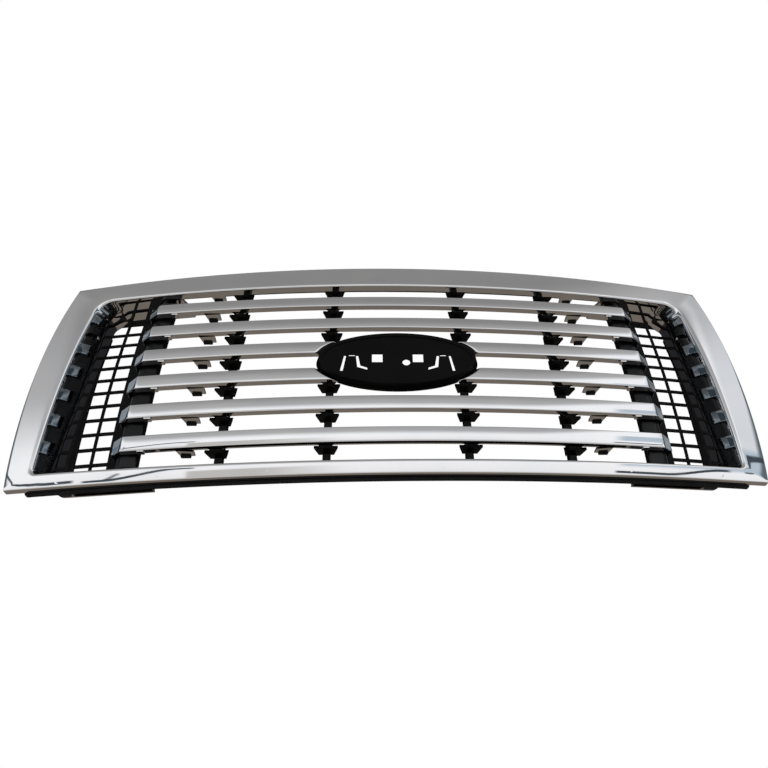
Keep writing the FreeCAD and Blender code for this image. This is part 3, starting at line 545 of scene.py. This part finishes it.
def bar_profile(low):
    """A bar's section as (role, depth, height): front skin, inner skin or rear edge."""
    high = low + BAR_HEIGHT
    lean = max(0, (LEAN_START - low) * LEAN_RATE)
    skin = []
    for k in range(ROUND_STEPS + 1):
        turn = QUARTER_TURN * k / ROUND_STEPS
        skin.append(("front", TOP_ROUND * (1 - math.sin(turn)), high - TOP_ROUND * (1 - math.cos(turn))))
    for k in range(1, PROFILE_STEPS):
        skin.append(("front", 0, mix(high - TOP_ROUND, low + LOW_ROUND, k / PROFILE_STEPS)))
    for k in range(ROUND_STEPS + 1):
        turn = QUARTER_TURN * k / ROUND_STEPS
        skin.append(("front", LOW_ROUND * (1 - math.cos(turn)), low + LOW_ROUND * (1 - math.sin(turn))))
    inside = [("inner", BAR_WALL, low + BAR_WALL), ("inner", BAR_WALL, high - BAR_WALL)]
    skin, inside = ([(role, depth + lean * (high - height), height) for role, depth, height in points]
                    for points in (skin, inside))
    floor = [("rear", BAR_FLOOR, low), ("rear", BAR_FLOOR, low + BAR_WALL)]
    return [("rear", BAR_ROOF, high)] + skin + floor + inside + [("rear", BAR_ROOF, high - BAR_WALL)]


def bend(past, rate, softness):
    """How far back a face lies past its bend: nothing before it, a slope after it, a curve between."""
    return rate * (past + math.sqrt(past * past + softness))


def bar_row(x, low, setback=0.0, oval_gap=None, sign=0):
    """The section at x. With oval_gap, each point lies that far outside the pad's oval instead."""
    mid = low + BAR_HEIGHT / 2
    past = abs(x) - BAR_HALF
    bent = bend(past, FACET_BEND, FACET_SOFTNESS) if oval_gap is None else 0.0
    share = min(max(past / FACET_REACH, 0), 1)
    row = []
    for role, depth, z in bar_profile(low):
        px = x
        if oval_gap is not None:
            px = sign * (OVAL_HALF * math.sqrt(1 - (z / OVAL_RISE) ** 2) + oval_gap)
        face = face_y(min(abs(px), BAR_HALF), z)
        front = face - BAR_CROWN * (1 - ((z - mid) / (BAR_HEIGHT / 2)) ** 2) + bent + setback
        rear = face + mix(BAR_ROOF if z > mid else BAR_FLOOR, FACET_BACK, share)
        rear = max(rear, front + LEAST_WALL)
        y = {"front": front + depth, "inner": min(front + depth * INNER_SET, rear), "rear": rear}[role]
        row.append(Vector((px, y, z)))
    return row


def bar_rows(low, signs, split):
    """A bar's sections from its outer end, to its other end or to the pad."""
    near_end = [BAR_HALF + FACET_REACH - step for step in END_SECTIONS]
    near_end += [BAR_HALF + step for step in BEND_SECTIONS]
    if not split:
        middle = [mix(EVEN_START, -EVEN_START, k / WHOLE_SECTIONS) for k in range(WHOLE_SECTIONS + 1)]
        return [bar_row(x, low) for x in near_end + middle + [-x for x in reversed(near_end)]]
    sign = signs[0]
    middle = [mix(EVEN_START, SPLIT_START, k / SPLIT_SECTIONS) for k in range(SPLIT_SECTIONS + 1)]
    rows = [bar_row(sign * x, low) for x in near_end + middle]
    for gap in PAD_GAPS:
        rows.append(bar_row(0, low, bend(PAD_BEND_GAP - gap, PAD_BEND, PAD_SOFTNESS), gap, sign))
    return rows


def make_bar(name, number, signs):
    low = BAR_LOWS[number - 1]

    def build(bm):
        loft(bm, bar_rows(low, signs, len(signs) == 1))
        edge_y = face_y(BAR_HALF, low + BAR_HEIGHT / 2)
        for sign in signs:
            inner, outer = sign * RETURN_START, sign * (BAR_HALF + FACET_REACH)
            front, rear = edge_y + FACET_BACK, edge_y + RETURN_DEPTH
            wrap = [(inner, front - 1, low), (outer, front - 0.6, low),
                    (outer, rear, low), (inner, rear, low)]
            prism(bm, wrap, (0, 0, BAR_HEIGHT), RETURN_SOFT)
            stations = [(sign * OUTER_RIB, 0), (sign * TAB_STATION, sign)]
            if number != 3:
                stations.append((sign * INNER_RIB, 0))
            for x, slant in stations:
                tongue(bm, x, low, BAR_TAB_DEPTH, slant)
            near = face_y(NUB_PLACE, low, NUB_DEPTH)
            corners = ((-NUB_HALF, 0), (NUB_HALF, 0), (NUB_HALF, 2 * NUB_HALF), (-NUB_HALF, 2 * NUB_HALF))
            nub = [(sign * NUB_PLACE + dx, near + dy, low - NUB_DROP) for dx, dy in corners]
            prism(bm, nub, (0, 0, NUB_HEIGHT), NUB_SOFT)

    make_piece(f"{name}_skin", build, BAR_CHROME_SHADED_ENDS, "chrome_plating", name)


for number in (1, 2, 5, 6):
    make_bar(f"bar_{number}", number, (-1, 1))
for number in (3, 4):
    for side, sign in SIDES:
        make_bar(f"bar_{number}_{side}", number, (sign,))

# ---------------------------------------------------------------- carried-over parts

FINISH = {"satin_black": SATIN, "mesh_black": MESH, "pad_black": PAD, "moulded_black": MOULDED,
          "bracket_steel": STEEL, "zinc_screws": ZINC}
EDGE_BREAK = {"satin_black": 0.5, "mesh_black": 0.5, "pad_black": 0.6, "moulded_black": 0.4,
              "bracket_steel": 0.3, "zinc_screws": 0.25}
for part in frame["record"]["subparts"]:
    slot = part["material_slot"]
    if slot not in FINISH:
        continue
    node = frame["nodes"][part["node"]]
    node.data.materials.clear()
    node.data.materials.append(FINISH[slot])
    weld = node.modifiers.new("weld", "WELD")
    weld.merge_threshold = 0.00001
    bevel = node.modifiers.new("edge_break", "BEVEL")
    bevel.width = EDGE_BREAK[slot] / 1000
    bevel.segments = 2
    bevel.angle_limit = math.radians(40)

# ---------------------------------------------------------------- studio

# The chrome mirrors this studio. It is drawn by direction: across is positive to the right, rise
# upwards and back rearwards, each from -1 to 1. A pair of ranges is what a value runs between, and
# what it becomes.

HORIZON = (1.08, 1.09, 1.11)
HALFWAY_UP = (0.50, 0.50, 0.505)
OVERHEAD = (0.30, 0.295, 0.292)
RIGHT_LIFT = ((0.30, 0.66), (0, 0.55))
LEFT_FALL = ((-0.50, -0.62), (0, 0.14))
FIRST_FALL = ((0.06, 0.34), UP)
SECOND_FALL = ((0.30, 0.85), UP)

# a paler wall far to the right, a blue patch at its foot and dark walls at both sides
WALL_LOW = (0.82, 0.84, 0.88)
WALL_HIGH = (0.52, 0.53, 0.545)
WALL_EDGE = ((0.56, 0.64), UP)
WALL_FADE = ((0.5, 0.8), UP)
PATCH = (0.56, 0.65, 0.74)
PATCH_SIDE = ((0.50, 0.53), UP)
PATCH_TOP = ((0.23, 0.25), DOWN)
DARK_SIDE = (0.13, 0.165, 0.19)
DARK_EDGE = ((0.76, 0.80), UP)

# the floor, with a beige card lying on it
FLOOR_FAR = (1.06, 1.06, 1.08)
FLOOR_NEAR = (0.55, 0.54, 0.53)
FLOOR_FADE = ((-0.6, -0.02), UP)
CARD = (0.62, 0.61, 0.585)
CARD_LEFT = ((-0.43, -0.42), UP)
CARD_RIGHT = ((-0.30, -0.05), DOWN)
CARD_TOP = ((-0.06, -0.03), DOWN)
SKYLINE = ((-0.03, 0.03), UP)

# what lies behind the grille
REAR_LOW = (0.185, 0.16, 0.135)
REAR_HIGH = (0.02, 0.02, 0.022)
REAR_FADE = ((-0.06, 0.02), UP)
REAR_EDGE = ((-0.12, 0.12), UP)

# dark lines: the stretch across they run over, their heights there, where they show, and half their width
STREAK = (0.06, 0.075, 0.09)
STREAKS = (((-0.58, -0.44), (-0.11, 0.01), (-0.615, -0.405), 0.013),
           ((-0.575, -0.55), (-0.10, -0.03), (-0.58, -0.545), 0.012),
           ((-0.80, -0.66), (0.17, -0.09), (-0.85, -0.62), 0.014),
           ((0.60, 0.70), (-0.10, 0.0), (0.50, 0.71), 0.013),
           ((0.66, 0.85), (0.21, 0.215), (0.66, 0.86), 0.009))
STREAK_FADE = 0.01


def streak(graph, across, rise, run, heights, limits, thick):
    """How much a dark line covers: it runs from one height to another, and shows between two limits."""
    apart = graph.size(graph.difference(rise, graph.range(across, run, heights)))
    started = graph.range(across, (limits[0], limits[0] + STREAK_FADE), UP)
    ended = graph.range(across, (limits[1] - STREAK_FADE, limits[1]), DOWN)
    return graph.product(graph.range(apart, (thick, thick * 1.7), DOWN), graph.product(started, ended))


def studio_above(graph, across, rise):
    """A slow fall from white near the horizon to grey overhead, lighter towards the right."""
    lift = graph.range(across, *RIGHT_LIFT)
    climb = graph.difference(graph.difference(rise, lift), graph.range(across, *LEFT_FALL))
    grey = graph.blend(graph.range(climb, *SECOND_FALL), HALFWAY_UP, OVERHEAD)
    above = graph.blend(graph.range(climb, *FIRST_FALL), HORIZON, grey)
    wall = graph.blend(graph.range(rise, *WALL_FADE), WALL_LOW, WALL_HIGH)
    above = graph.blend(graph.range(across, *WALL_EDGE), above, wall)
    patch = graph.product(graph.range(across, *PATCH_SIDE), graph.range(rise, *PATCH_TOP))
    above = graph.blend(patch, above, PATCH)
    return graph.blend(graph.range(graph.size(across), *DARK_EDGE), above, DARK_SIDE)


def studio_below(graph, across, rise):
    """The floor, white far off and grey close by, with the card on it."""
    below = graph.blend(graph.range(rise, *FLOOR_FADE), FLOOR_NEAR, FLOOR_FAR)
    card = graph.product(graph.range(across, *CARD_LEFT), graph.range(across, *CARD_RIGHT))
    return graph.blend(graph.product(card, graph.range(rise, *CARD_TOP)), below, CARD)


def make_world():
    world = bpy.data.worlds.new("studio")
    world.use_nodes = True
    graph = Graph(world.node_tree)
    ray = graph.add("SeparateXYZ", {0: graph.add("TexCoord").outputs["Generated"]})
    across, back, rise = ray.outputs
    front = graph.blend(graph.range(rise, *SKYLINE), studio_below(graph, across, rise),
                        studio_above(graph, across, rise))
    for line in STREAKS:
        front = graph.blend(streak(graph, across, rise, *line), front, STREAK)
    rear = graph.blend(graph.range(rise, *REAR_FADE), REAR_LOW, REAR_HIGH)
    around = graph.blend(graph.range(back, *REAR_EDGE), front, rear)
    # the camera itself sees plain white
    seen = graph.add("LightPath").outputs["Is Camera Ray"]
    light = graph.add("Background", {"Color": graph.blend(seen, around, (1, 1, 1)), "Strength": 1.0})
    graph.add("OutputWorld", {"Surface": light.outputs[0]})
    bpy.context.scene.world = world


# the floor and the camera are in metres
FLOOR_HALF = 8.0
FLOOR_HEIGHT = -1.2
PAPER = ((0.80, 0.80, 0.80), (0.83, 0.83, 0.83), (0.8, 0.9), 2, 60, 0.00005)

CAMERA_PLACE = (-0.03495, -0.8197, -0.6162)
CAMERA_CLIMB = math.radians(40.41)
CAMERA_SWING = math.radians(4.465)
CAMERA_ROLL = math.radians(-2.663)
SENSOR_WIDTH = 36
LENS = 31.49
SHIFT = (-0.040, -0.087)


def make_floor():
    mesh = bpy.data.meshes.new("floor")
    half, height = FLOOR_HALF, FLOOR_HEIGHT
    corners = [(-half, -half, height), (half, -half, height), (half, half, height), (-half, half, height)]
    mesh.from_pydata(corners, [], [(0, 1, 2, 3)])
    mesh.materials.append(surface("paper_floor", *PAPER))
    floor = bpy.data.objects.new("floor", mesh)
    bpy.context.scene.collection.objects.link(floor)
    floor.visible_glossy = False


def make_camera():
    """In front of the grille and below it, looking up."""
    climb, swing, roll = CAMERA_CLIMB, CAMERA_SWING, CAMERA_ROLL
    ahead = Vector((math.sin(swing) * math.cos(climb), math.cos(swing) * math.cos(climb), math.sin(climb)))
    level = Vector((math.cos(swing), -math.sin(swing), 0))
    upright = level.cross(ahead)
    right = level * math.cos(roll) + upright * math.sin(roll)
    up = upright * math.cos(roll) - level * math.sin(roll)
    data = bpy.data.cameras.new("camera")
    data.sensor_width = SENSOR_WIDTH
    data.lens = LENS
    data.shift_x, data.shift_y = SHIFT
    camera = bpy.data.objects.new("camera", data)
    turned = Matrix((right, up, -ahead)).transposed().to_4x4()
    camera.matrix_world = Matrix.Translation(CAMERA_PLACE) @ turned
    bpy.context.scene.collection.objects.link(camera)
    bpy.context.scene.camera = camera


make_world()
make_floor()
make_camera()
bpy.context.scene.view_settings.view_transform = "Standard"
